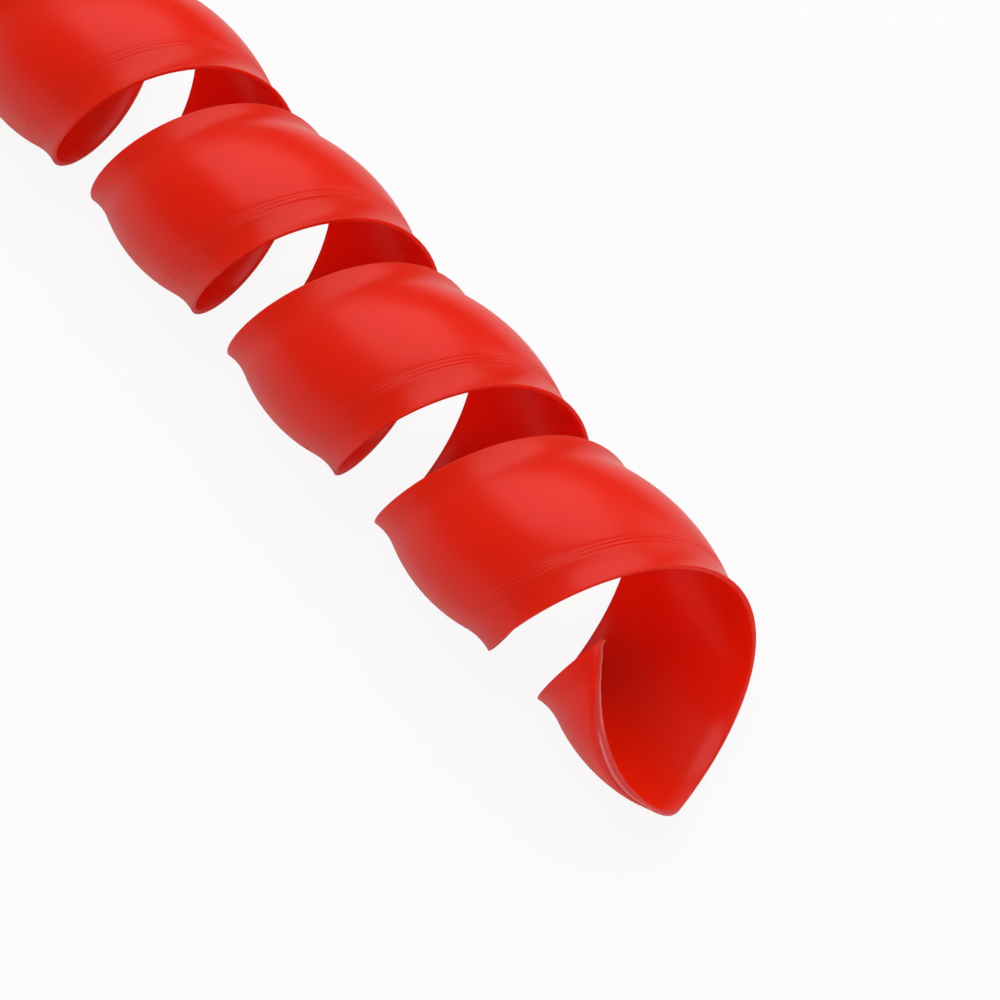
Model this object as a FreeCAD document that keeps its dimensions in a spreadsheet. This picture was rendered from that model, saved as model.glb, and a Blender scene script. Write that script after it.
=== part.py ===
import FreeCAD, Part
import enum
import math
import os
import Sketcher

# A spiral hose guard: one plastic strip wound into an open left-handed coil that is slipped
# over a hose. The strip bulges outward along its middle, necks in near both sides and ends in
# two thin lips with square edges. Both ends are snipped off at a slant.
#
# Frame: X runs along the axis of the coil, Z is up and the origin is on the axis at mid
# length. The guard lies on its side. Half turns at the bottom outnumber those at the top, so
# that it settles with both snipped ends just above mid height.

VECTOR = FreeCAD.Vector
# Points of a sketch edge, numbered from 1 as constraints name them.
Spot = enum.IntEnum("Spot", "START END CENTRE")
X_LINE, Y_LINE = -1, -2
ORIGIN = (-1, 1)

# Driving sizes in millimetres and degrees: alias, value, what it is.
SIZES = (
    ("crown_diameter", 20.0, "outer diameter, over the crown of the strip"),
    ("pitch", 21.2, "advance of the coil in one turn"),
    ("whole_turns", 8, "whole turns; the ends add a little over half a turn"),
    ("strip_width", 15.4, "width of the strip along the axis, lip to lip"),
    ("neck_spacing", 13.0, "distance along the axis between the two necks"),
    ("crown_height", 1.0, "rise of the crown above the necks"),
    ("neck_radius", 5.0, "hollow radius of the outside at a neck"),
    ("crown_wall", 1.1, "wall under the crown"),
    ("lip_wall", 0.45, "wall from a neck to the edge of its lip"),
    ("snip_rise", 4.0, "height of a snipped end above mid height, as an angle"),
    ("snip_slant", 57.0, "angle between a snip and the axis of the coil"),
    ("stub_angle", 68.0, "winding past each end that the snip takes off, as an angle"),
)


def make_sheet(doc):
    """Put the driving sizes in a spreadsheet, one alias for each."""
    sheet = doc.addObject("Spreadsheet::Sheet", "Sizes")
    for row, (alias, value, meaning) in enumerate(SIZES, start=1):
        sheet.set(f"A{row}", meaning)
        sheet.set(f"B{row}", str(value))
        sheet.setAlias(f"B{row}", alias)
    doc.recompute()
    return sheet


def origin_feature(body, role):
    """Give one plane or axis of the body's own origin."""
    for feature in body.Origin.OriginFeatures:
        if feature.Role == role:
            return feature
    raise ValueError("the body has no " + role)


def circle_arc(centre, radius, first, last):
    """Draw an arc counterclockwise between two points that lie on its circle."""
    start = math.atan2(first[1] - centre[1], first[0] - centre[0])
    end = math.atan2(last[1] - centre[1], last[0] - centre[0])
    if end < start:
        end += 2 * math.pi
    circle = Part.Circle(VECTOR(centre[0], centre[1], 0), VECTOR(0, 0, 1), radius)
    return Part.ArcOfCircle(circle, start, end)


def crown_radius(half_spacing, drop, neck_radius):
    """Radius of the arc that tops out `drop` above two hollow neck arcs and meets both."""
    return (half_spacing ** 2 + drop ** 2) / (2 * drop) - neck_radius


def point_between(start, end, share):
    """Give the point at a share of the way from start to end."""
    return (start[0] + share * (end[0] - start[0]), start[1] + share * (end[1] - start[1]))


def section_geometry(sheet):
    """Work out the closed outline of the strip, right half first: six arcs and two lip edges."""
    top = sheet.crown_diameter / 2
    half_spacing = sheet.neck_spacing / 2
    neck_bottom = top - sheet.crown_height
    neck_centre = (half_spacing, neck_bottom + sheet.neck_radius)
    inner_neck_radius = sheet.neck_radius + sheet.lip_wall
    inner_top = top - sheet.crown_wall
    inner_drop = inner_top - (neck_bottom - sheet.lip_wall)

    outer_radius = crown_radius(half_spacing, sheet.crown_height, sheet.neck_radius)
    inner_radius = crown_radius(half_spacing, inner_drop, inner_neck_radius)
    outer_centre = (0, top - outer_radius)
    inner_centre = (0, inner_top - inner_radius)
    outer_share = outer_radius / (outer_radius + sheet.neck_radius)
    inner_share = inner_radius / (inner_radius + inner_neck_radius)
    outer_join = point_between(outer_centre, neck_centre, outer_share)
    inner_join = point_between(inner_centre, neck_centre, inner_share)

    edge_x = sheet.strip_width / 2
    past_neck = edge_x - half_spacing
    outer_tip = (edge_x, neck_centre[1] - math.sqrt(sheet.neck_radius ** 2 - past_neck ** 2))
    inner_tip = (edge_x, neck_centre[1] - math.sqrt(inner_neck_radius ** 2 - past_neck ** 2))

    def left(point):
        return (-point[0], point[1])

    def edge(first, last):
        return Part.LineSegment(VECTOR(first[0], first[1], 0), VECTOR(last[0], last[1], 0))

    return [
        circle_arc(outer_centre, outer_radius, outer_join, left(outer_join)),
        circle_arc(neck_centre, sheet.neck_radius, outer_join, outer_tip),
        edge(outer_tip, inner_tip),
        circle_arc(neck_centre, inner_neck_radius, inner_join, inner_tip),
        circle_arc(inner_centre, inner_radius, inner_join, left(inner_join)),
        circle_arc(left(neck_centre), inner_neck_radius, left(inner_tip), left(inner_join)),
        edge(left(inner_tip), left(outer_tip)),
        circle_arc(left(neck_centre), sheet.neck_radius, left(outer_tip), left(outer_join)),
    ]


def name_dimension(sketch, constraint, name, expression):
    """Add a dimension to a sketch, name it and tie it to the driving sizes."""
    index = sketch.addConstraint(constraint)
    sketch.renameConstraint(index, name)
    sketch.setExpression("Constraints." + name, expression)


def draw_section(body, sheet):
    """Draw the strip's section in a plane through the axis, one stub before the first end."""
    sketch = body.newObject("Sketcher::SketchObject", "strip_section")
    sketch.AttachmentSupport = (origin_feature(body, "XZ_Plane"), "")
    sketch.MapMode = "FlatFace"
    stub_rise = sheet.snip_rise + sheet.stub_angle
    sketch.AttachmentOffset = FreeCAD.Placement(
        VECTOR(0, 0, 0), FreeCAD.Rotation(VECTOR(1, 0, 0), stub_rise - 90)
    )
    sketch.setExpression(
        "AttachmentOffset.Rotation.Angle", "Sizes.snip_rise + Sizes.stub_angle - 90"
    )
    sketch.setExpression(
        "AttachmentOffset.Base.x",
        "-Sizes.pitch * (Sizes.whole_turns / 2 + 1 / 4"
        " + (Sizes.snip_rise + Sizes.stub_angle) / 360)",
    )

    crown, neck, lip, inner_neck, bore, left_inner_neck, left_lip, left_neck = range(8)
    sketch.addGeometry(section_geometry(sheet), False)
    crown_top, bore_top = sketch.addGeometry(
        [
            Part.Point(VECTOR(0, sheet.crown_diameter / 2, 0)),
            Part.Point(VECTOR(0, sheet.crown_diameter / 2 - sheet.crown_wall, 0)),
        ],
        True,
    )
    for kind, first, first_end, second, second_end in (
        ("Tangent", crown, Spot.START, neck, Spot.START),
        ("Coincident", neck, Spot.END, lip, Spot.START),
        ("Coincident", lip, Spot.END, inner_neck, Spot.END),
        ("Tangent", inner_neck, Spot.START, bore, Spot.START),
        ("Tangent", bore, Spot.END, left_inner_neck, Spot.END),
        ("Coincident", left_inner_neck, Spot.START, left_lip, Spot.START),
        ("Coincident", left_lip, Spot.END, left_neck, Spot.START),
        ("Tangent", left_neck, Spot.END, crown, Spot.END),
    ):
        sketch.addConstraint(Sketcher.Constraint(kind, first, first_end, second, second_end))
    sketch.addConstraint(
        [
            Sketcher.Constraint("Coincident", neck, Spot.CENTRE, inner_neck, Spot.CENTRE),
            Sketcher.Constraint("Coincident", left_neck, Spot.CENTRE, left_inner_neck, Spot.CENTRE),
            Sketcher.Constraint("Symmetric", neck, Spot.CENTRE, left_neck, Spot.CENTRE, Y_LINE),
            Sketcher.Constraint("Equal", neck, left_neck),
            Sketcher.Constraint("Equal", inner_neck, left_inner_neck),
            Sketcher.Constraint("Vertical", lip),
            Sketcher.Constraint("Vertical", left_lip),
            Sketcher.Constraint("PointOnObject", crown_top, Spot.START, Y_LINE),
            Sketcher.Constraint("PointOnObject", crown_top, Spot.START, crown),
            Sketcher.Constraint("PointOnObject", bore_top, Spot.START, Y_LINE),
            Sketcher.Constraint("PointOnObject", bore_top, Spot.START, bore),
        ]
    )
    top = sheet.crown_diameter / 2
    neck_height = top - sheet.crown_height + sheet.neck_radius
    inner_neck_radius = sheet.neck_radius + sheet.lip_wall
    name_dimension(
        sketch,
        Sketcher.Constraint("DistanceY", *ORIGIN, crown_top, Spot.START, top),
        "crown_top",
        "Sizes.crown_diameter / 2",
    )
    name_dimension(
        sketch,
        Sketcher.Constraint("DistanceY", *ORIGIN, bore_top, Spot.START, top - sheet.crown_wall),
        "bore_top",
        "Sizes.crown_diameter / 2 - Sizes.crown_wall",
    )
    name_dimension(
        sketch,
        Sketcher.Constraint("DistanceX", left_neck, Spot.CENTRE, neck, Spot.CENTRE, sheet.neck_spacing),
        "neck_spacing",
        "Sizes.neck_spacing",
    )
    name_dimension(
        sketch,
        Sketcher.Constraint("DistanceY", *ORIGIN, neck, Spot.CENTRE, neck_height),
        "neck_height",
        "Sizes.crown_diameter / 2 - Sizes.crown_height + Sizes.neck_radius",
    )
    name_dimension(
        sketch,
        Sketcher.Constraint("Radius", neck, sheet.neck_radius),
        "neck_radius",
        "Sizes.neck_radius",
    )
    name_dimension(
        sketch,
        Sketcher.Constraint("Radius", inner_neck, inner_neck_radius),
        "inner_neck_radius",
        "Sizes.neck_radius + Sizes.lip_wall",
    )
    name_dimension(
        sketch,
        Sketcher.Constraint("DistanceX", *ORIGIN, lip, Spot.START, sheet.strip_width / 2),
        "half_width",
        "Sizes.strip_width / 2",
    )
    name_dimension(
        sketch,
        Sketcher.Constraint("DistanceX", left_lip, Spot.END, lip, Spot.START, sheet.strip_width),
        "strip_width",
        "Sizes.strip_width",
    )
    return sketch


def wind_strip(body, section):
    """Sweep the section along the left-handed coil, one stub past both ends."""
    coil = body.newObject("PartDesign::AdditiveHelix", "wound_strip")
    coil.Profile = section
    coil.ReferenceAxis = (origin_feature(body, "X_Axis"), [""])
    coil.Mode = "pitch-turns-angle"
    coil.LeftHanded = True
    coil.setExpression("Pitch", "Sizes.pitch")
    coil.setExpression(
        "Turns",
        "Sizes.whole_turns + 1 / 2 + (Sizes.snip_rise + Sizes.stub_angle) / 180",
    )
    section.Visibility = False
    return coil


def draw_snip(body, sheet):
    """Draw what the snip takes off the far end, seen from outside along the radius there.

    The outline is a parallelogram. One side is the snip. The two sides beside it follow the
    strip, half a pitch away from its middle, so that they run along the open gaps.
    """
    sketch = body.newObject("Sketcher::SketchObject", "snip_outline")
    sketch.AttachmentSupport = (origin_feature(body, "XY_Plane"), "")
    sketch.MapMode = "FlatFace"
    sketch.AttachmentOffset = FreeCAD.Placement(
        VECTOR(0, 0, 0), FreeCAD.Rotation(VECTOR(1, 0, 0), 90 - sheet.snip_rise)
    )
    sketch.setExpression("AttachmentOffset.Rotation.Angle", "90 - Sizes.snip_rise")
    sketch.setExpression(
        "AttachmentOffset.Base.x",
        "Sizes.pitch * (Sizes.whole_turns / 2 + 1 / 4 + Sizes.snip_rise / 360)",
    )

    lead = math.atan(sheet.pitch / (math.pi * sheet.crown_diameter))
    slant = math.radians(sheet.snip_slant)
    gap_offset = sheet.pitch / 2 * math.cos(lead)
    along = (math.sin(lead), math.cos(lead))
    across = (math.cos(slant), -math.sin(slant))
    side_reach = gap_offset / math.cos(slant - lead)
    stub_reach = sheet.crown_diameter / math.cos(slant - lead)

    def corner(side, ahead):
        x = side * side_reach * across[0] + ahead * stub_reach * along[0]
        y = side * side_reach * across[1] + ahead * stub_reach * along[1]
        return VECTOR(x, y, 0)

    corners = [corner(-1, 0), corner(1, 0), corner(1, 1), corner(-1, 1)]
    snip, front, far, back = range(4)
    sketch.addGeometry(
        [Part.LineSegment(corners[i], corners[(i + 1) % 4]) for i in range(4)], False
    )
    for side in (snip, front, far, back):
        after = (side + 1) % 4
        sketch.addConstraint(Sketcher.Constraint("Coincident", side, Spot.END, after, Spot.START))
    sketch.addConstraint(
        [
            Sketcher.Constraint("Parallel", snip, far),
            Sketcher.Constraint("Parallel", front, back),
            Sketcher.Constraint("PointOnObject", *ORIGIN, snip),
        ]
    )
    name_dimension(
        sketch,
        Sketcher.Constraint("Angle", snip, Spot.START, X_LINE, Spot.START, slant),
        "snip_slant",
        "Sizes.snip_slant",
    )
    name_dimension(
        sketch,
        Sketcher.Constraint("Angle", X_LINE, Spot.START, front, Spot.START, math.pi / 2 - lead),
        "strip_direction",
        "90 deg - atan(Sizes.pitch / (pi * Sizes.crown_diameter))",
    )
    for name, side in (("front_gap", front), ("back_gap", back)):
        name_dimension(
            sketch,
            Sketcher.Constraint("Distance", *ORIGIN, side, gap_offset),
            name,
            "Sizes.pitch / 2 * cos(atan(Sizes.pitch / (pi * Sizes.crown_diameter)))",
        )
    name_dimension(
        sketch,
        Sketcher.Constraint("Distance", *ORIGIN, far, sheet.crown_diameter),
        "stub_reach",
        "Sizes.crown_diameter",
    )
    return sketch


def snip_ends(body, outline):
    """Cut through the near wall at one end, and turn the cut about Z for the other end."""
    snip = body.newObject("PartDesign::Pocket", "end_snip")
    snip.Profile = outline
    snip.Type = "Length"
    snip.setExpression("Length", "Sizes.crown_diameter")
    snip.Reversed = True
    outline.Visibility = False
    both = body.newObject("PartDesign::PolarPattern", "both_end_snips")
    both.Originals = [snip]
    both.Axis = (origin_feature(body, "Z_Axis"), [""])
    both.Angle = 360
    both.Occurrences = 2
    body.Tip = both
    return snip, both


def check_document(doc, bodies, features):
    """Stop if an object failed, a shape is unsound or a cut removed nothing."""
    for item in doc.Objects:
        if "Invalid" in item.State or "Error" in item.State:
            raise RuntimeError(item.Label + " failed")
    for body in bodies:
        if body.Shape.isNull() or not body.Shape.isValid() or len(body.Shape.Solids) != 1:
            raise RuntimeError(body.Label + " is not one sound solid")
    for before, after in zip(features, features[1:]):
        if after.Shape.Volume >= before.Shape.Volume:
            raise RuntimeError(after.Label + " cuts nothing")


def main():
    """Build the guard, check it and write its solid."""
    doc = FreeCAD.newDocument("spiral_hose_guard")
    sheet = make_sheet(doc)
    guard = doc.addObject("PartDesign::Body", "spiral_guard")
    guard.Label = "spiral_guard"
    guard.Placement = FreeCAD.Placement()
    section = draw_section(guard, sheet)
    coil = wind_strip(guard, section)
    doc.recompute()
    outline = draw_snip(guard, sheet)
    snip, both = snip_ends(guard, outline)
    doc.recompute()
    check_document(doc, [guard], [coil, snip, both])

    os.makedirs("parts", exist_ok=True)
    for body in (guard,):
        body.Shape.exportStep("parts/" + body.Label + ".step")
        print(body.Label, "volume", round(body.Shape.Volume, 1), "mm3")


main()
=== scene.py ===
"""Looks of the spiral hose guard: a red plastic strip wound into an open left-handed coil."""

import logging
import math
from dataclasses import dataclass, field
from enum import Enum

import bpy
import numpy as np
from mathutils import Matrix, Vector


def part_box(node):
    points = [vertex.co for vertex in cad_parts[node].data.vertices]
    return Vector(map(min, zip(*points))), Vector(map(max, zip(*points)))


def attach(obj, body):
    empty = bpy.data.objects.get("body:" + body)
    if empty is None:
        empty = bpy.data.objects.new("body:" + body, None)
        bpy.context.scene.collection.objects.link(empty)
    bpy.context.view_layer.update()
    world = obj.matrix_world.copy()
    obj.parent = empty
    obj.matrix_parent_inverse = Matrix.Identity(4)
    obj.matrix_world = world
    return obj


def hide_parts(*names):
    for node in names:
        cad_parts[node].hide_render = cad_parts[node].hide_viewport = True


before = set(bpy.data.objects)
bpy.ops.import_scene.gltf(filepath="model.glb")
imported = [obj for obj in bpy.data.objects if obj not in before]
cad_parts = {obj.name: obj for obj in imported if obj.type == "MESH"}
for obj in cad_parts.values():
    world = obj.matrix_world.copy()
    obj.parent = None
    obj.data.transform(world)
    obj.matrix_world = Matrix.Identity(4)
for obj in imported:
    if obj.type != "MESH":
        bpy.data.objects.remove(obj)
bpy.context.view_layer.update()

LOG = logging.getLogger("hose_guard")
MM = 0.001
FULL_TURN = 2 * math.pi

# Direction of the bottom of the coil, from +Y towards +Z.
DOWN = 1.5 * math.pi

# Lengths of a ripple's waves as shares of its mean length, and what their sum seldom passes.
WAVE_SHARES = (0.47, 0.71, 1.0, 1.43, 2.09)
WAVE_PEAK = 3


class StripEnd(Enum):
    """The two snipped ends of the strip; the value is the sign of X there."""

    NEAR = 1
    FAR = -1


class Finish(Enum):
    """Which finish a face of the strip has; the value is its material index."""

    EXTRUDED = 0
    SNIPPED = 1


def linear(colour: str) -> tuple[float, float, float, float]:
    """Turn an sRGB hex colour into linear values.

    Args:
        colour: six hex digits, with or without a leading hash.

    Returns:
        Red, green, blue and alpha, linear, with alpha 1.
    """
    digits = colour.lstrip("#")
    channels = [int(digits[i:i + 2], 16) / 255 for i in (0, 2, 4)]
    red, green, blue = [
        c / 12.92 if c <= 0.04045 else ((c + 0.055) / 1.055) ** 2.4 for c in channels
    ]
    return red, green, blue, 1.0


def smooth_step(low: float, high: float, value: np.ndarray) -> np.ndarray:
    """Rise smoothly from 0 at low to 1 at high.

    Args:
        low: value where the rise starts.
        high: value where it ends; below low, the step falls instead.
        value: where to work it out.

    Returns:
        The height of the step, from 0 to 1.
    """
    share = np.clip((np.asarray(value, float) - low) / (high - low), 0, 1)
    return share * share * (3 - 2 * share)


def ripple(place: np.ndarray, length: float, seed: int) -> np.ndarray:
    """Sum a few waves of unrelated lengths into an uneven, seeded line.

    Args:
        place: where to work it out, in millimetres.
        length: mean length of the unevenness, in millimetres.
        seed: picks the phases.

    Returns:
        Values between about -1 and 1.
    """
    draws = np.random.default_rng(seed)
    total = np.zeros_like(np.asarray(place, float))
    for share in WAVE_SHARES:
        phase = draws.uniform(0, FULL_TURN)
        total += np.sin(FULL_TURN * place / (length * share) + phase)
    return total / WAVE_PEAK


def add_node(
    tree: bpy.types.NodeTree, kind: str, inputs: dict | None = None, **settings: object
) -> bpy.types.Node:
    """Add a shader node.

    Args:
        tree: node tree that gets the node.
        kind: type name of the node.
        inputs: for each input, by name or number, a value or the socket that feeds it.
        settings: attributes of the node itself.

    Returns:
        The new node.
    """
    node = tree.nodes.new(kind)
    for name, value in settings.items():
        setattr(node, name, value)
    for name, value in (inputs or {}).items():
        if isinstance(value, bpy.types.NodeSocket):
            tree.links.new(value, node.inputs[name])
        else:
            node.inputs[name].default_value = value
    return node


def new_material(name: str) -> tuple[bpy.types.Material, bpy.types.NodeTree]:
    """Make a material with an empty node tree.

    Args:
        name: name of the material.

    Returns:
        The material and its node tree.
    """
    material = bpy.data.materials.new(name)
    material.use_nodes = True
    material.node_tree.nodes.clear()
    return material, material.node_tree


@dataclass(frozen=True)
class ExtrudedPolypropylene:
    """Polypropylene coloured bright red all through, extruded as a strip and wound while warm.

    To the eye: an even, saturated satin red. Light that falls on the outside soaks through the
    thin wall, so the inside glows a deep red. The winding leaves the surface a little uneven, so
    the soft highlights waver. The lines of the die hardly show, and rubbing leaves a few pale
    specks.
    """

    name: str = "extruded_red_polypropylene"
    red: str = "#FB1F04"
    worn_red: str = "#FB2A0E"
    worn_range: tuple[float, float] = (0.35, 0.75)
    worn_share: float = 0.35
    speck: str = "#F0A8A0"
    speck_spacing_mm: float = 5.0
    speck_radius_mm: float = 0.07
    speck_core: float = 0.4
    speck_share: float = 0.5
    ior: float = 1.49
    specular: float = 0.25
    roughness: tuple[float, float] = (0.28, 0.36)
    roughness_range: tuple[float, float] = (0.3, 0.7)
    cloud_mm: float = 25 / 3
    cloud_detail: float = 2.0
    soak: float = 0.75
    soak_mm: float = 3.0
    soak_colour: tuple[float, float, float] = (1.0, 0.2, 0.1)
    line_spacing_mm: float = 0.45
    line_length_mm: float = 30.0
    line_depth_mm: float = 0.004
    line_strength: float = 0.5
    line_detail: float = 3.0
    line_roughness: float = 0.6
    dent_length_mm: float = 16.0
    dent_width_mm: float = 5.0
    dent_depth_mm: float = 0.16
    dent_detail: float = 1.0
    grain_mm: float = 0.25
    grain_detail: float = 2.0
    grain_share: float = 0.3
    per_mm_of_wall: float = 0.3

    def build(self) -> bpy.types.Material:
        """Make the material.

        Returns:
            The finished material.
        """
        material, tree = new_material(self.name)
        place = add_node(tree, "ShaderNodeAttribute", attribute_name="strip_place")
        line_scale = (1 / self.line_length_mm, 1 / self.line_spacing_mm, self.per_mm_of_wall)
        along_lines = add_node(
            tree,
            "ShaderNodeVectorMath",
            {0: place.outputs["Vector"], 1: line_scale},
            operation="MULTIPLY",
        )
        lines = add_node(
            tree,
            "ShaderNodeTexNoise",
            {
                "Vector": along_lines.outputs[0],
                "Scale": 1.0,
                "Detail": self.line_detail,
                "Roughness": self.line_roughness,
            },
        )
        grain = add_node(
            tree,
            "ShaderNodeTexNoise",
            {
                "Vector": place.outputs["Vector"],
                "Scale": 1 / self.grain_mm,
                "Detail": self.grain_detail,
            },
        )
        cloud = add_node(
            tree,
            "ShaderNodeTexNoise",
            {
                "Vector": place.outputs["Vector"],
                "Scale": 1 / self.cloud_mm,
                "Detail": self.cloud_detail,
            },
        )
        dent_scale = (1 / self.dent_length_mm, 1 / self.dent_width_mm, self.per_mm_of_wall)
        along_dents = add_node(
            tree,
            "ShaderNodeVectorMath",
            {0: place.outputs["Vector"], 1: dent_scale},
            operation="MULTIPLY",
        )
        dents = add_node(
            tree,
            "ShaderNodeTexNoise",
            {"Vector": along_dents.outputs[0], "Scale": 1.0, "Detail": self.dent_detail},
        )
        relief = add_node(
            tree,
            "ShaderNodeMix",
            {"Factor": self.grain_share, "A": lines.outputs["Fac"], "B": grain.outputs["Fac"]},
        )
        dented = add_node(
            tree,
            "ShaderNodeBump",
            {
                "Strength": 1.0,
                "Distance": self.dent_depth_mm * MM,
                "Height": dents.outputs["Fac"],
            },
        )
        bump = add_node(
            tree,
            "ShaderNodeBump",
            {
                "Strength": self.line_strength,
                "Distance": self.line_depth_mm * MM,
                "Height": relief.outputs["Result"],
                "Normal": dented.outputs["Normal"],
            },
        )
        specks = add_node(
            tree,
            "ShaderNodeTexVoronoi",
            {"Vector": place.outputs["Vector"], "Scale": 1 / self.speck_spacing_mm},
        )
        speck_reach = self.speck_radius_mm / self.speck_spacing_mm
        speck_mask = add_node(
            tree,
            "ShaderNodeMapRange",
            {
                "Value": specks.outputs["Distance"],
                "From Min": self.speck_core * speck_reach,
                "From Max": speck_reach,
                "To Min": self.speck_share,
                "To Max": 0.0,
            },
        )
        tint = add_node(
            tree,
            "ShaderNodeMapRange",
            {
                "Value": cloud.outputs["Fac"],
                "From Min": self.worn_range[0],
                "From Max": self.worn_range[1],
                "To Max": self.worn_share,
            },
        )
        base = add_node(
            tree,
            "ShaderNodeMix",
            {"Factor": tint.outputs[0], "A": linear(self.red), "B": linear(self.worn_red)},
            data_type="RGBA",
        )
        colour = add_node(
            tree,
            "ShaderNodeMix",
            {
                "Factor": speck_mask.outputs[0],
                "A": base.outputs["Result"],
                "B": linear(self.speck),
            },
            data_type="RGBA",
        )
        gloss = add_node(
            tree,
            "ShaderNodeMapRange",
            {
                "Value": cloud.outputs["Fac"],
                "From Min": self.roughness_range[0],
                "From Max": self.roughness_range[1],
                "To Min": self.roughness[0],
                "To Max": self.roughness[1],
            },
        )
        shader = add_node(
            tree,
            "ShaderNodeBsdfPrincipled",
            {
                "Base Color": colour.outputs["Result"],
                "Roughness": gloss.outputs[0],
                "IOR": self.ior,
                "Specular IOR Level": self.specular,
                "Subsurface Weight": self.soak,
                "Subsurface Radius": self.soak_colour,
                "Subsurface Scale": self.soak_mm * MM,
                "Normal": bump.outputs["Normal"],
            },
        )
        add_node(tree, "ShaderNodeOutputMaterial", {"Surface": shader.outputs[0]})
        return material


@dataclass(frozen=True)
class SnippedPolypropylene:
    """The same polypropylene where side cutters have snipped the strip.

    To the eye: a paler, pinkish red, torn to a fine grain. The ridge where the two blades met,
    and the inner edge where there is no ridge yet, are paler still: partly bruised by the blades,
    partly a painted highlight of the light that these edges catch.
    """

    name: str = "snipped_red_polypropylene"
    red: str = "#E0302A"
    # Pale colour of the bruised cut, also used as a painted highlight on its ridge and inner
    # edge.
    bruise_and_glint: str = "#F89A98"
    ior: float = 1.49
    specular: float = 0.2
    roughness: float = 0.5
    soak: float = 1.0
    soak_mm: float = 0.5
    soak_colour: tuple[float, float, float] = (1.0, 0.3, 0.2)
    grain_mm: float = 0.12
    grain_depth_mm: float = 0.03
    grain_strength: float = 0.6
    grain_detail: float = 3.0
    grain_range: tuple[float, float] = (0.3, 0.65)
    least_bruised: float = 0.35

    def build(self) -> bpy.types.Material:
        """Make the material.

        Returns:
            The finished material.
        """
        material, tree = new_material(self.name)
        place = add_node(tree, "ShaderNodeAttribute", attribute_name="strip_place")
        bruised_and_glinting = add_node(tree, "ShaderNodeAttribute", attribute_name="bruise_and_glint")
        grain = add_node(
            tree,
            "ShaderNodeTexNoise",
            {
                "Vector": place.outputs["Vector"],
                "Scale": 1 / self.grain_mm,
                "Detail": self.grain_detail,
            },
        )
        patchy = add_node(
            tree,
            "ShaderNodeMapRange",
            {
                "Value": grain.outputs["Fac"],
                "From Min": self.grain_range[0],
                "From Max": self.grain_range[1],
                "To Min": self.least_bruised,
                "To Max": 1.0,
            },
        )
        share = add_node(
            tree,
            "ShaderNodeMath",
            {0: bruised_and_glinting.outputs["Fac"], 1: patchy.outputs[0]},
            operation="MULTIPLY",
        )
        # Mixes the red with the pale colour: bruising, and a painted highlight on the ridge and
        # the inner edge.
        colour = add_node(
            tree,
            "ShaderNodeMix",
            {"Factor": share.outputs[0], "A": linear(self.red), "B": linear(self.bruise_and_glint)},
            data_type="RGBA",
        )
        bump = add_node(
            tree,
            "ShaderNodeBump",
            {
                "Strength": self.grain_strength,
                "Distance": self.grain_depth_mm * MM,
                "Height": grain.outputs["Fac"],
            },
        )
        shader = add_node(
            tree,
            "ShaderNodeBsdfPrincipled",
            {
                "Base Color": colour.outputs["Result"],
                "Roughness": self.roughness,
                "IOR": self.ior,
                "Specular IOR Level": self.specular,
                "Subsurface Weight": self.soak,
                "Subsurface Radius": self.soak_colour,
                "Subsurface Scale": self.soak_mm * MM,
                "Normal": bump.outputs["Normal"],
            },
        )
        add_node(tree, "ShaderNodeOutputMaterial", {"Surface": shader.outputs[0]})
        return material


def seen_directly(
    tree: bpy.types.NodeTree, path: bpy.types.Node, mirrored: float
) -> bpy.types.NodeSocket:
    """Tell rays that show the background from rays that light the object.

    Args:
        tree: node tree that gets the nodes.
        path: its Light Path node.
        mirrored: how much of the background shows in gloss.

    Returns:
        A socket that is 1 for camera and transmission rays, mirrored for glossy rays, and else 0.
    """
    in_gloss = add_node(
        tree,
        "ShaderNodeMath",
        {0: path.outputs["Is Glossy Ray"], 1: mirrored},
        operation="MULTIPLY",
    )
    through = add_node(
        tree,
        "ShaderNodeMath",
        {0: in_gloss.outputs[0], 1: path.outputs["Is Transmission Ray"]},
        operation="MAXIMUM",
    )
    seen = add_node(
        tree,
        "ShaderNodeMath",
        {0: path.outputs["Is Camera Ray"], 1: through.outputs[0]},
        operation="MAXIMUM",
    )
    return seen.outputs[0]


@dataclass(frozen=True)
class WhitePaper:
    """Matt background paper of a pale grey, rolled out flat and lit up to white.

    To the eye: an even white with nothing on it but the soft shadow of what lies there.
    """

    name: str = "matt_pale_paper"
    grey: str = "#EAEAEA"
    roughness: float = 0.9
    shown_white: float = 0.9
    mirrored_white: float = 0.05

    def build(self) -> bpy.types.Material:
        """Make the material.

        Returns:
            The finished material.
        """
        material, tree = new_material(self.name)
        path = add_node(tree, "ShaderNodeLightPath")
        paper = add_node(
            tree,
            "ShaderNodeBsdfPrincipled",
            {"Base Color": linear(self.grey), "Roughness": self.roughness},
        )
        white = add_node(tree, "ShaderNodeEmission", {"Strength": 1.0})
        seen = seen_directly(tree, path, self.mirrored_white / self.shown_white)
        share = add_node(
            tree, "ShaderNodeMath", {0: seen, 1: self.shown_white}, operation="MULTIPLY"
        )
        surface = add_node(
            tree,
            "ShaderNodeMixShader",
            {0: share.outputs[0], 1: paper.outputs[0], 2: white.outputs[0]},
        )
        add_node(tree, "ShaderNodeOutputMaterial", {"Surface": surface.outputs[0]})
        return material


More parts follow.
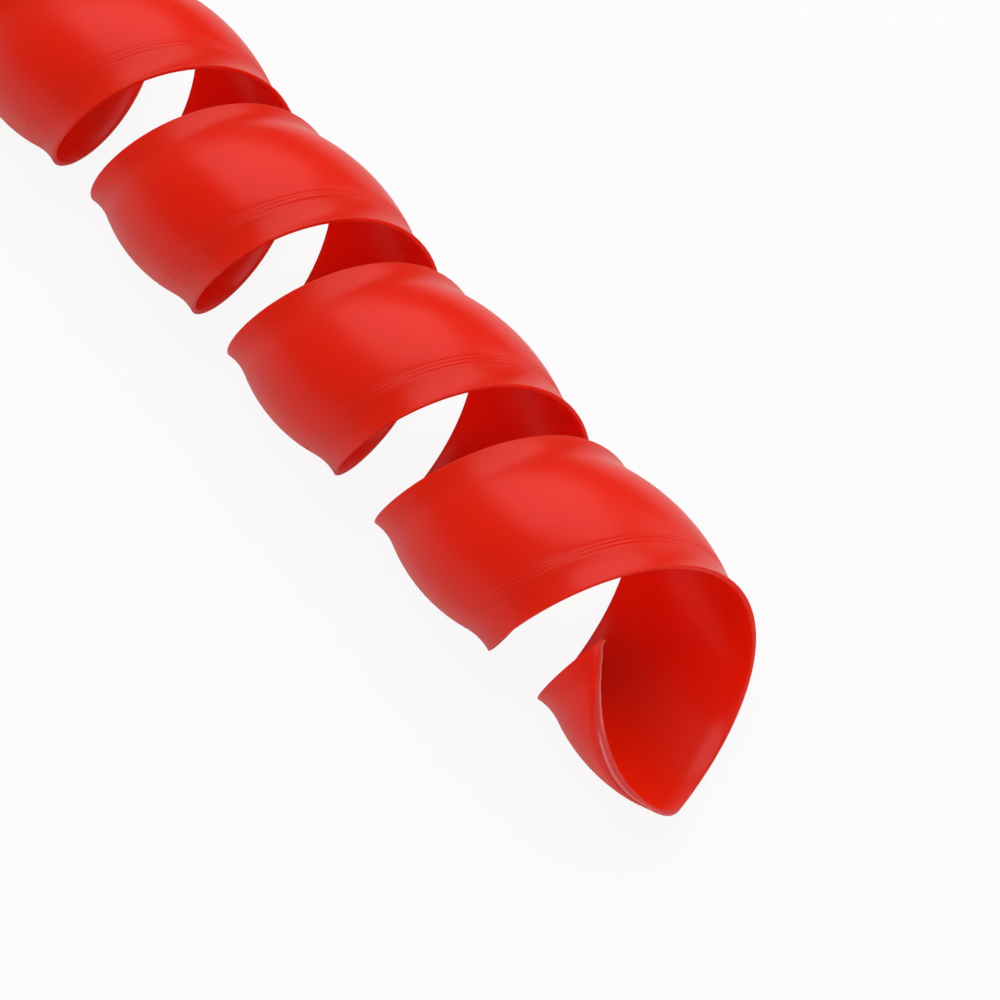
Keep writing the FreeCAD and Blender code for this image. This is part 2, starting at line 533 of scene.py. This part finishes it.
@dataclass(frozen=True)
class Wander:
    """How the wound strip strays from a true coil, in millimetres.

    Each field is the swing of a smooth wave over the turns next to the end on the +X side. The
    waves die out over the turns beyond. The last four fields say where, in turns from that end.
    """

    stretch: float = 0.53
    growth: float = 0.45
    crowding: float = -0.33
    aside: float = 0.25
    bow_side: float = -0.21
    bow_up: float = -0.27
    sway_side: float = -0.4
    sway_up: float = -0.03
    taper: float = 0.09
    belly: float = -0.08
    oval_skew: float = 0.04
    middle_turn: float = 2.25
    half_span: float = 2.3
    last_turn: float = 4.7
    faded_turn: float = 6.7

    def drift(self, turns: np.ndarray, angle: np.ndarray) -> dict[str, np.ndarray]:
        """Work out how far the strip strays.

        Args:
            turns: turns before the near end.
            angle: direction from the axis, from +Y towards +Z, in radians.

        Returns:
            Shifts along X, Y and Z, and outward from the axis.
        """
        reach = (np.minimum(turns, self.last_turn) - self.middle_turn) / self.half_span
        # With the plain reach, these are three waves that don't repeat one another.
        bow = (3 * reach ** 2 - 1) / 2
        sway = (5 * reach ** 3 - 3 * reach) / 2
        kept = smooth_step(self.faded_turn, self.last_turn, turns)
        oval = self.oval_skew * np.sin(2 * angle)
        return {
            "x": kept * (self.stretch * reach + self.growth * bow + self.crowding * sway),
            "y": kept * (self.aside + self.bow_side * bow + self.sway_side * sway),
            "z": kept * (self.bow_up * bow + self.sway_up * sway),
            "out": kept * (self.taper * reach + self.belly * bow + oval),
        }


@dataclass(frozen=True)
class FreedEnd:
    """How a snipped end has sprung out of true, in millimetres.

    The last turn opens out a little. The very end curls in, twists, and slips back towards the
    coil. Every effect dies away over the turns that end_turns and opening_turns give.
    """

    curl: float = 0.72
    twist: float = -0.5
    slip: float = -0.87
    narrowing: float = -0.18
    aside: float = 0.17
    lift: float = 0.15
    end_turns: float = 0.17
    opening: float = 0.25
    crowding: float = -0.21
    opening_turns: float = 0.5

    def shifts(self, turns: np.ndarray) -> dict[str, np.ndarray]:
        """Work out how far the strip has sprung.

        Args:
            turns: turns before the middle of the snipped end.

        Returns:
            Shifts along X away from mid length, along Y and Z, and outward from the axis; the
            outward shift of the lip that leads; and the change of the strip's width.
        """
        tip = np.exp(-turns / self.end_turns)
        last = np.exp(-turns / self.opening_turns)
        return {
            "x": self.slip * tip + self.crowding * last,
            "y": self.aside * tip,
            "z": self.lift * tip,
            "out": self.opening * last - self.curl * tip,
            "twist": self.twist * tip,
            "width": self.narrowing * tip,
        }


@dataclass(frozen=True)
class StripSection:
    """Section of the strip, in millimetres: across it, and outward from the axis of the coil.

    The lines of the die come and go along the strip. Their strength is given as its mean and its
    swing, and the steps of the mesh across each line in half widths of it.
    """

    width: float = 15.4
    neck_spacing: float = 13.0
    crown_height: float = 1.0
    neck_radius: float = 5.0
    crown_wall: float = 1.1
    lip_wall: float = 0.45
    edge_round: float = 0.13
    die_lines: tuple[float, ...] = (4.3, 4.6, 4.95)
    die_line_width: float = 0.075
    die_line_depth: float = 0.06
    die_line_strength: tuple[float, float] = (0.65, 0.35)
    die_line_waver: float = 38.0
    die_line_seed: int = 11
    die_line_steps: tuple[int, ...] = (-4, -2, -1, 0, 1, 2, 4)
    die_line_clearance: float = 0.12
    coarse_steps: int = 40
    edge_steps: int = 5
    burr_band: float = 1.7
    burr_step: float = 0.15
    decimals: int = 4

    def stations(self) -> np.ndarray:
        """Choose the places across the strip where the mesh has points.

        Returns:
            Places across the strip, from one edge to the other.
        """
        half = self.width / 2
        flat = half - self.edge_round
        quarter = np.linspace(0, math.pi / 2, self.edge_steps + 1)
        rounding = flat + self.edge_round * np.sin(quarter)
        grooves = [
            line + step * self.die_line_width / 2
            for line in self.die_lines
            for step in self.die_line_steps
        ]
        inside = np.linspace(-flat, flat, self.coarse_steps)
        fine = np.arange(flat - self.burr_band, flat, self.burr_step)
        even = [x for x in inside if abs(x) < fine[0] - self.burr_step]
        gap = self.die_line_clearance
        clear = [x for x in even if all(abs(x - groove) > gap for groove in grooves)]
        places = np.concatenate([-rounding, rounding, -fine, fine, clear, grooves])
        return np.unique(np.round(places, self.decimals))

    def arc_height(self, across: np.ndarray, top: float, drop: float, neck: float) -> np.ndarray:
        """Height of a crown arc that runs smoothly into two hollow neck arcs.

        Args:
            across: places across the strip.
            top: height of the crown.
            drop: how far the necks lie below it.
            neck: radius of the neck arcs.

        Returns:
            The height at each place.
        """
        spacing = self.neck_spacing / 2
        crown = (spacing ** 2 + drop ** 2) / (2 * drop) - neck
        join = spacing * crown / (crown + neck)
        reach = np.abs(across)
        on_crown = top - crown + np.sqrt(np.maximum(crown ** 2 - reach ** 2, 0))
        on_neck = top - drop + neck - np.sqrt(np.maximum(neck ** 2 - (reach - spacing) ** 2, 0))
        return np.where(reach < join, on_crown, on_neck)

    def heights(self, across: np.ndarray, top: float) -> tuple[np.ndarray, np.ndarray]:
        """Work out the outside and the inside of the strip.

        Args:
            across: places across the strip.
            top: outer radius of the coil over the crown.

        Returns:
            Heights of the outside and of the inside, with rounded lip edges.
        """
        neck_bottom = top - self.crown_height
        inner_top = top - self.crown_wall
        inner_drop = inner_top - (neck_bottom - self.lip_wall)
        outer = self.arc_height(across, top, self.crown_height, self.neck_radius)
        inner_neck = self.neck_radius + self.lip_wall
        inner = self.arc_height(across, inner_top, inner_drop, inner_neck)
        past = np.clip((np.abs(across) - self.width / 2) / self.edge_round + 1, 0, 1)
        rounding = self.edge_round * (1 - np.sqrt(1 - past ** 2))
        return outer - rounding, inner + rounding

    def grooves(self, across: np.ndarray, along: np.ndarray) -> np.ndarray:
        """Depth of the fine lines that the die left near the front lip.

        Args:
            across: places across the strip.
            along: places along it, in millimetres.

        Returns:
            The depth, which comes and goes along the strip.
        """
        depth = np.zeros(np.broadcast(across, along).shape)
        mean, swing = self.die_line_strength
        for seed, line in enumerate(self.die_lines, self.die_line_seed):
            strength = mean + swing * ripple(along, self.die_line_waver, seed)
            groove = np.exp(-((across - line) / self.die_line_width) ** 2)
            depth = depth + self.die_line_depth * strength * groove
        return depth


@dataclass(frozen=True)
class Snip:
    """A cut by side cutters: slanted, with one rounded corner and a ridge between two bevels.

    Lengths are in millimetres and angles in degrees. The place of the ridge and the widths of
    the two pale lines, each part bruise and part painted highlight, are shares of the wall.
    """

    rise: float = 4.0
    slant: float = 57.0
    solver_steps: int = 4
    corner_across: float = 2.8
    corner_along: float = 2.9
    undercut: tuple[float, float, float] = (0.08, 0.35, 0.2)
    ridge: float = 0.16
    ridge_place: float = 0.3
    ridge_start: float = -1.6
    ridge_onset: float = 1.0
    ridge_bruise_and_glint_width: float = 0.1
    edge_bruise_and_glint_width: float = 0.25
    smooth_bruise: float = 0.12
    least_bruise: float = 0.03
    tear: float = 0.08
    tear_length: float = 0.6
    grain_length: float = 0.4
    grain_seeds: int = 97
    inner_fineness: float = 3.0
    burr: float = 0.16
    burr_reach: float = 1.6
    pinch: float = 0.1
    pinch_reach: float = 0.45
    steps: int = 12

    def lead(self, across: np.ndarray, radius: float, pitch: float) -> np.ndarray:
        """How far the plane of the cut lies ahead of the middle of the end.

        Args:
            across: places across the strip, positive towards the end of the coil.
            radius: radius of the coil.
            pitch: advance of the coil in one turn.

        Returns:
            The lead as winding, in radians.
        """
        slope = math.tan(math.radians(self.slant))
        advance = pitch / FULL_TURN
        winding = -slope * across / (radius + slope * advance)
        # Each step brings the line along the strip closer to the plane of the cut.
        for _ in range(self.solver_steps):
            miss = radius * np.sin(winding) + slope * (across + advance * winding)
            winding = winding - miss / (radius * np.cos(winding) + slope * advance)
        return winding

    def trim(self, across: np.ndarray, half_width: float, seed: int) -> np.ndarray:
        """How far the cut stands back from its plane, along the strip.

        Args:
            across: places across the strip, positive towards the end of the coil.
            half_width: half the width of the strip.
            seed: picks the tears.

        Returns:
            The distance in millimetres: the rounded corner, the burr and the tears.
        """
        past = np.clip((across - half_width) / self.corner_across + 1, 0, 1)
        rounded = self.corner_along * (1 - np.sqrt(1 - past ** 2))
        ragged = self.burr * smooth_step(self.burr_reach - half_width, -half_width, across)
        torn = self.tear / 2 + ragged
        return rounded + torn * ripple(across, self.tear_length, seed)

    def hang_back(self, across: np.ndarray, half_width: float) -> np.ndarray:
        """How far the inner edge of the cut lies behind the outer edge.

        Args:
            across: places across the strip, positive towards the end of the coil.
            half_width: half the width of the strip.

        Returns:
            The distance in millimetres.
        """
        share = across / half_width
        level, slope, bend = self.undercut
        return level + slope * share + bend * share ** 2

    def ridge_begun(self, across: np.ndarray) -> np.ndarray:
        """How far the ridge has risen, from 0 to 1, at places across the strip."""
        low, high = self.ridge_start - self.ridge_onset, self.ridge_start + self.ridge_onset
        return smooth_step(low, high, across)

    def face(self, across: np.ndarray, depth: float, seed: int) -> np.ndarray:
        """How far the cut face stands out between the outer and the inner edge.

        Args:
            across: places across the strip, positive towards the end of the coil.
            depth: share of the wall, 0 on the outside and 1 on the inside.
            seed: picks the grain.

        Returns:
            The height of the face in millimetres.
        """
        if depth < self.ridge_place:
            share = depth / self.ridge_place
            rough = self.tear
        else:
            share = (1 - depth) / (1 - self.ridge_place)
            rough = self.tear / self.inner_fineness
        torn = ripple(across, self.grain_length, seed + int(self.grain_seeds * depth))
        grain = rough * math.sin(math.pi * depth) * torn
        return self.ridge * share * self.ridge_begun(across) + grain

    def bruise_and_glint(self, across: np.ndarray, depth: float) -> np.ndarray:
        """How pale the cut face is painted: bruised, with a painted highlight on the ridge and
        inner edge.

        Args:
            across: places across the strip, positive towards the end of the coil.
            depth: share of the wall, 0 on the outside and 1 on the inside.

        Returns:
            Shares from 0 to 1: a pale line on the ridge, and one on the inner edge before it,
                each part bruise and part painted highlight.
        """
        begun = self.ridge_begun(across)
        # The pale lines on the ridge and the inner edge are partly bruising and partly a painted
        # highlight.
        ridge = begun * math.exp(-((depth - self.ridge_place) / self.ridge_bruise_and_glint_width) ** 2)
        edge = (1 - begun) * math.exp(-((1 - depth) / self.edge_bruise_and_glint_width) ** 2)
        smooth = self.smooth_bruise * begun * float(depth > self.ridge_place)
        return np.minimum(1, self.least_bruise + ridge + edge + smooth)


@dataclass(frozen=True)
class Side:
    """One side of the strip as a grid of points, with rows along it and columns across it."""

    winding: np.ndarray
    height: np.ndarray
    index: np.ndarray


@dataclass
class Skin:
    """Points and faces of the strip's mesh while it is put together."""

    points: list[np.ndarray] = field(default_factory=list)
    places: list[np.ndarray] = field(default_factory=list)
    bruises_and_glints: list[np.ndarray] = field(default_factory=list)
    faces: list[list[int]] = field(default_factory=list)
    finishes: list[int] = field(default_factory=list)
    rims: list[tuple[StripEnd, np.ndarray]] = field(default_factory=list)

    def add_points(
        self, points: np.ndarray, places: np.ndarray, bruise_and_glint: float | np.ndarray
    ) -> np.ndarray:
        """Add a row or a grid of points.

        Args:
            points: where they are, in metres.
            places: where they are on the strip, in millimetres, for the finishes.
            bruise_and_glint: how pale they are painted, for bruising and for a painted highlight,
                from 0 to 1.

        Returns:
            Their numbers, in the same row or grid.
        """
        shape = points.shape[:-1]
        start = sum(len(block) for block in self.points)
        self.points.append(points.reshape(-1, 3))
        self.places.append(places.reshape(-1, 3))
        self.bruises_and_glints.append(np.broadcast_to(bruise_and_glint, shape).ravel())
        return start + np.arange(math.prod(shape)).reshape(shape)

    def tile(self, index: np.ndarray, finish: Finish, flip: bool = False) -> None:
        """Cover a grid of points with quads.

        Args:
            index: numbers of the points, in rows and columns.
            finish: finish of the quads.
            flip: whether they face the other way.
        """
        corners = [index[:-1, :-1], index[:-1, 1:], index[1:, 1:], index[1:, :-1]]
        if flip:
            corners.reverse()
        quads = np.stack(corners, -1).reshape(-1, 4)
        self.faces.extend(quads.tolist())
        self.finishes.extend([finish.value] * len(quads))

    def sharpen_rims(self, mesh: bpy.types.Mesh) -> None:
        """Mark the edges round each cut as sharp.

        Args:
            mesh: mesh that has all the points.
        """
        rim = np.zeros(len(mesh.vertices), int)
        for end, border in self.rims:
            rim[border] = end.value
        edge_ends = np.empty(2 * len(mesh.edges), int)
        mesh.edges.foreach_get("vertices", edge_ends)
        first, second = rim[edge_ends.reshape(-1, 2)].T
        mesh.edges.foreach_set("use_edge_sharp", (first == second) & (first != 0))

    def build(self, name: str, materials: dict[Finish, bpy.types.Material]) -> bpy.types.Mesh:
        """Make the mesh.

        Args:
            name: name of the mesh.
            materials: one material for each finish.

        Returns:
            The mesh, with the attributes that the finishes read.
        """
        mesh = bpy.data.meshes.new(name)
        mesh.from_pydata(np.concatenate(self.points).tolist(), [], self.faces)
        mesh.polygons.foreach_set("material_index", self.finishes)
        mesh.polygons.foreach_set("use_smooth", [True] * len(self.faces))
        self.sharpen_rims(mesh)
        strip_place = mesh.attributes.new("strip_place", "FLOAT_VECTOR", "POINT")
        strip_place.data.foreach_set("vector", np.concatenate(self.places).ravel())
        # Pale share of each point: bruising, and a painted highlight on the cut's ridge and inner
        # edge.
        bruise_and_glint = mesh.attributes.new("bruise_and_glint", "FLOAT", "POINT")
        bruise_and_glint.data.foreach_set("value", np.concatenate(self.bruises_and_glints))
        for finish in Finish:
            mesh.materials.append(materials[finish])
        mesh.validate()
        mesh.update()
        return mesh


@dataclass
class WoundStrip:
    """The guard itself: one strip wound into a left-handed coil and snipped at both ends.

    The pitch is in millimetres. The rows of the mesh crowd together towards the snips.
    """

    name: str = "spiral_guard_strip"
    node: str = "spiral_guard"
    pitch: float = 21.2
    whole_turns: int = 8
    steps_per_turn: int = 64
    end_steps: int = 9
    end_crowding: float = 1.6
    trim_seed: int = 5
    face_seed: int = 23
    section: StripSection = field(default_factory=StripSection)
    snip: Snip = field(default_factory=Snip)
    wander: Wander = field(default_factory=Wander)
    freed_end: FreedEnd = field(default_factory=FreedEnd)

    @property
    def top(self) -> float:
        """Outer radius over the crown in millimetres, from the frame."""
        low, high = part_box(self.node)
        return (high.y - low.y) / 2 / MM

    @property
    def half_winding(self) -> float:
        """Winding from mid length to the middle of a snipped end, in radians."""
        return FULL_TURN * (self.whole_turns / 2 + 1 / 4 + self.snip.rise / 360)

    def end_winding(self, across: np.ndarray, end: StripEnd, inner: bool) -> np.ndarray:
        """Winding at which each line along the strip ends.

        Args:
            across: places across the strip.
            end: which end.
            inner: whether the lines are on the inside.

        Returns:
            Signed winding from mid length, in radians.
        """
        outward = across * end.value
        half_width = self.section.width / 2
        lead = self.snip.lead(outward, self.top, self.pitch)
        shift = -self.snip.trim(outward, half_width, seed=self.trim_seed + end.value)
        if inner:
            shift = shift - self.snip.hang_back(outward, half_width)
        return end.value * (self.half_winding + lead + shift / self.top)

    def place(self, winding: np.ndarray, across: np.ndarray, height: np.ndarray) -> np.ndarray:
        """Put points of the strip in space.

        Args:
            winding: winding from mid length, in radians.
            across: places across the strip.
            height: distances from the axis.

        Returns:
            Points in metres, in the frame of the part.
        """
        angle = DOWN - winding
        near_turns = (self.half_winding - winding) / FULL_TURN
        far_turns = (self.half_winding + winding) / FULL_TURN
        drift = self.wander.drift(near_turns, angle)
        near = self.freed_end.shifts(near_turns)
        far = self.freed_end.shifts(far_turns)
        share = across / (self.section.width / 2)
        spread = across + share * (near["width"] + far["width"]) / 2
        radius = height + drift["out"] + near["out"] + far["out"]
        radius = radius + share * (near["twist"] - far["twist"])
        x = self.pitch * winding / FULL_TURN + spread + drift["x"] + near["x"] - far["x"]
        y = drift["y"] + near["y"] - far["y"] + radius * np.cos(angle)
        z = drift["z"] + near["z"] + far["z"] + radius * np.sin(angle)
        return np.stack([x, y, z], axis=-1) * MM

    def row_shares(self) -> np.ndarray:
        """Choose where along the strip the mesh has rows.

        Returns:
            Shares of the strip's length, from 0 to 1, closer together near the snips.
        """
        turns = 2 * self.half_winding / FULL_TURN
        count = round(turns * self.steps_per_turn)
        even = np.linspace(0, 1, count + 1)
        close = even[1] * (np.arange(1, self.end_steps) / self.end_steps) ** self.end_crowding
        return np.unique(np.concatenate([even, close, 1 - close]))

    def side_winding(self, across: np.ndarray, inner: bool) -> np.ndarray:
        """Work out the winding of each point of one side.

        Args:
            across: places across the strip.
            inner: whether it is the inside.

        Returns:
            Signed winding from mid length, in radians, in rows and columns.
        """
        first = self.end_winding(across, StripEnd.FAR, inner)
        last = self.end_winding(across, StripEnd.NEAR, inner)
        return first + self.row_shares()[:, None] * (last - first)

    def marked_height(
        self, height: np.ndarray, winding: np.ndarray, across: np.ndarray
    ) -> np.ndarray:
        """Mark the outside with the lines of the die and the pinch of the cutters.

        Args:
            height: height of the plain outside at each place across the strip.
            winding: winding of each point.
            across: places across the strip.

        Returns:
            The height of each point.
        """
        marked = height - self.section.grooves(across, winding * self.top)
        for first in (winding[0], winding[-1]):
            reach = np.abs(winding - first) * self.top / self.snip.pinch_reach
            marked = marked - self.snip.pinch * np.exp(-reach ** 2)
        return marked

    def build_sides(self, skin: Skin, across: np.ndarray) -> tuple[Side, Side]:
        """Make the outside and the inside, and join them along the lips.

        Args:
            skin: mesh so far, which gets them.
            across: places across the strip.

        Returns:
            The outside and the inside.
        """
        outer, inner = self.section.heights(across, self.top)
        winding = self.side_winding(across, inner=False)
        inner_winding = self.side_winding(across, inner=True)
        marked = self.marked_height(outer, winding, across)
        along = winding * self.top
        sides = []
        for turned, height, wall in (
            (winding, marked, 0.0),
            (inner_winding, np.broadcast_to(inner, winding.shape), self.section.crown_wall),
        ):
            points = self.place(turned, across, height)
            spread = np.broadcast_to(across, along.shape)
            places = np.stack([along, spread, np.full_like(along, wall)], -1)
            sides.append(Side(turned, height, skin.add_points(points, places, bruise_and_glint=0.0)))
        outside, inside = sides
        skin.tile(outside.index, Finish.EXTRUDED)
        skin.tile(inside.index, Finish.EXTRUDED, flip=True)
        for column, flip in ((-1, False), (0, True)):
            lip = np.stack([outside.index[:, column], inside.index[:, column]], -1)
            skin.tile(lip, Finish.EXTRUDED, flip)
        return outside, inside

    def build_cut(
        self, skin: Skin, end: StripEnd, across: np.ndarray, outside: Side, inside: Side
    ) -> None:
        """Make the face of one cut, in layers from the outside to the inside.

        Args:
            skin: mesh so far, which gets the face.
            end: which end.
            across: places across the strip.
            outside: the outside of the strip.
            inside: its inside.
        """
        row = 0 if end is StripEnd.FAR else -1
        outward = across * end.value
        layers = [outside.index[row]]
        for step in range(1, self.snip.steps):
            depth = step / self.snip.steps
            height = outside.height[row] + depth * (inside.height[row] - outside.height[row])
            stand = self.snip.face(outward, depth, seed=self.face_seed + end.value)
            between = outside.winding[row] + depth * (inside.winding[row] - outside.winding[row])
            ahead = between + end.value * stand / self.top
            points = self.place(ahead, across, height)
            places = np.stack([ahead * self.top, across, height], -1)
            layers.append(skin.add_points(points, places, self.snip.bruise_and_glint(outward, depth)))
        layers.append(inside.index[row])
        face = np.stack(layers)
        skin.tile(face, Finish.SNIPPED, flip=end is StripEnd.FAR)
        for border in (face[0], face[-1], face[:, 0], face[:, -1]):
            skin.rims.append((end, border))

    def build(self, materials: dict[Finish, bpy.types.Material]) -> bpy.types.Object:
        """Make the strip.

        Args:
            materials: one material for each finish.

        Returns:
            The finished object.
        """
        skin = Skin()
        across = self.section.stations()
        outside, inside = self.build_sides(skin, across)
        for end in (StripEnd.FAR, StripEnd.NEAR):
            self.build_cut(skin, end, across, outside, inside)
        strip = bpy.data.objects.new(self.name, skin.build(self.name, materials))
        bpy.context.scene.collection.objects.link(strip)
        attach(strip, "root")
        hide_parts(self.node)
        return strip


@dataclass(frozen=True)
class SoftBox:
    """A square soft box that points at the part of the guard in the photo.

    Angles are in degrees and lengths in metres. The radiance is in watts per square metre and
    steradian.
    """

    name: str
    azimuth: float
    elevation: float
    distance: float
    size: float
    radiance: float
    aim: tuple[float, float, float] = (0.06, 0.0, 0.0)

    def build(self) -> bpy.types.Object:
        """Hang the soft box.

        Returns:
            The light.
        """
        data = bpy.data.lights.new(self.name, "AREA")
        data.shape = "SQUARE"
        data.size = self.size
        data.energy = self.radiance * math.pi * self.size ** 2
        soft_box = bpy.data.objects.new(self.name, data)
        azimuth = math.radians(self.azimuth)
        elevation = math.radians(self.elevation)
        level = math.cos(elevation)
        direction = Vector(
            (level * math.cos(azimuth), level * math.sin(azimuth), math.sin(elevation))
        )
        turn = direction.to_track_quat("Z", "Y").to_matrix().to_4x4()
        spot = Matrix.Translation(Vector(self.aim) + self.distance * direction)
        soft_box.matrix_world = spot @ turn
        bpy.context.scene.collection.objects.link(soft_box)
        return soft_box


@dataclass(frozen=True)
class Studio:
    """The plain studio: a white floor, three soft boxes and an even pale room."""

    floor_size: float = 6.0
    paper: WhitePaper = WhitePaper()
    boxes: tuple[SoftBox, ...] = (
        SoftBox(
            "back_soft_box", azimuth=155.0, elevation=66.0, distance=0.5, size=0.6, radiance=1.9
        ),
        SoftBox(
            "front_soft_box", azimuth=322.0, elevation=38.0, distance=0.6, size=0.5, radiance=1.4
        ),
        SoftBox(
            "side_soft_box", azimuth=75.0, elevation=20.0, distance=0.45, size=0.35, radiance=1.3
        ),
    )
    room_light: float = 0.13
    room_colour: str = "#FFFFFF"

    def build_floor(self, level: float) -> bpy.types.Object:
        """Lay the floor.

        Args:
            level: its height in metres.

        Returns:
            The floor.
        """
        half = self.floor_size / 2
        mesh = bpy.data.meshes.new("floor")
        corners = [
            (-half, -half, level),
            (half, -half, level),
            (half, half, level),
            (-half, half, level),
        ]
        mesh.from_pydata(corners, [], [(0, 1, 2, 3)])
        mesh.materials.append(self.paper.build())
        floor = bpy.data.objects.new("floor", mesh)
        bpy.context.scene.collection.objects.link(floor)
        return floor

    def build_lights(self) -> list[bpy.types.Object]:
        """Hang the soft boxes and return them."""
        return [box.build() for box in self.boxes]

    def build_room(self) -> bpy.types.World:
        """Set the even light of the room, and the white that the camera sees beyond the floor.

        Returns:
            The world.
        """
        world = bpy.data.worlds.new("pale_room")
        bpy.context.scene.world = world
        world.use_nodes = True
        tree = world.node_tree
        tree.nodes.clear()
        path = add_node(tree, "ShaderNodeLightPath")
        room = add_node(
            tree,
            "ShaderNodeBackground",
            {"Color": linear(self.room_colour), "Strength": self.room_light},
        )
        white = add_node(
            tree,
            "ShaderNodeBackground",
            {"Color": linear(self.room_colour), "Strength": 1.0},
        )
        shown = seen_directly(tree, path, self.paper.mirrored_white)
        sky = add_node(
            tree,
            "ShaderNodeMixShader",
            {0: shown, 1: room.outputs[0], 2: white.outputs[0]},
        )
        add_node(tree, "ShaderNodeOutputWorld", {"Surface": sky.outputs[0]})
        return world


@dataclass(frozen=True)
class PhotoCamera:
    """The camera that saw the guard: where it stands and how it is turned.

    The lens and the sensor are in millimetres, other lengths in metres, and the roll in degrees.
    """

    lens: float = 122.2
    sensor_width: float = 36.0
    clip_start: float = 0.01
    distance: float = 0.2773
    target: tuple[float, float, float] = (0.06567, -0.00015, 0.0)
    toward: tuple[float, float, float] = (0.4155, -0.3257, 0.8493)
    roll: float = 0.24

    def build(self) -> bpy.types.Object:
        """Set up the camera.

        Returns:
            The camera, made the scene's own.
        """
        data = bpy.data.cameras.new("photo_camera")
        data.lens = self.lens
        data.sensor_width = self.sensor_width
        data.clip_start = self.clip_start
        camera = bpy.data.objects.new("photo_camera", data)
        direction = Vector(self.toward).normalized()
        turn = direction.to_track_quat("Z", "Y").to_matrix().to_4x4()
        turn = turn @ Matrix.Rotation(math.radians(self.roll), 4, "Z")
        spot = Matrix.Translation(Vector(self.target) + self.distance * direction)
        camera.matrix_world = spot @ turn
        bpy.context.scene.collection.objects.link(camera)
        bpy.context.scene.camera = camera
        return camera


def main() -> None:
    """Build the guard, the studio and the camera."""
    logging.basicConfig(level=logging.INFO, format="%(name)s: %(message)s")
    scene = bpy.context.scene
    scene.view_settings.view_transform = "Standard"
    materials = {
        Finish.EXTRUDED: ExtrudedPolypropylene().build(),
        Finish.SNIPPED: SnippedPolypropylene().build(),
    }
    guard = WoundStrip()
    strip = guard.build(materials)
    mesh = strip.data
    LOG.info("%s: %d points, %d faces", strip.name, len(mesh.vertices), len(mesh.polygons))
    studio = Studio()
    floor_level = -guard.top * MM
    floor = studio.build_floor(floor_level)
    LOG.info("%s: at %.4f m", floor.name, floor_level)
    for soft_box in studio.build_lights():
        LOG.info("%s: %.2f W", soft_box.name, soft_box.data.energy)
    room = studio.build_room()
    LOG.info("%s: light of strength %.2f", room.name, studio.room_light)
    camera = PhotoCamera().build()
    LOG.info("%s: lens %.1f mm", camera.name, camera.data.lens)


if __name__ == "__main__":
    main()
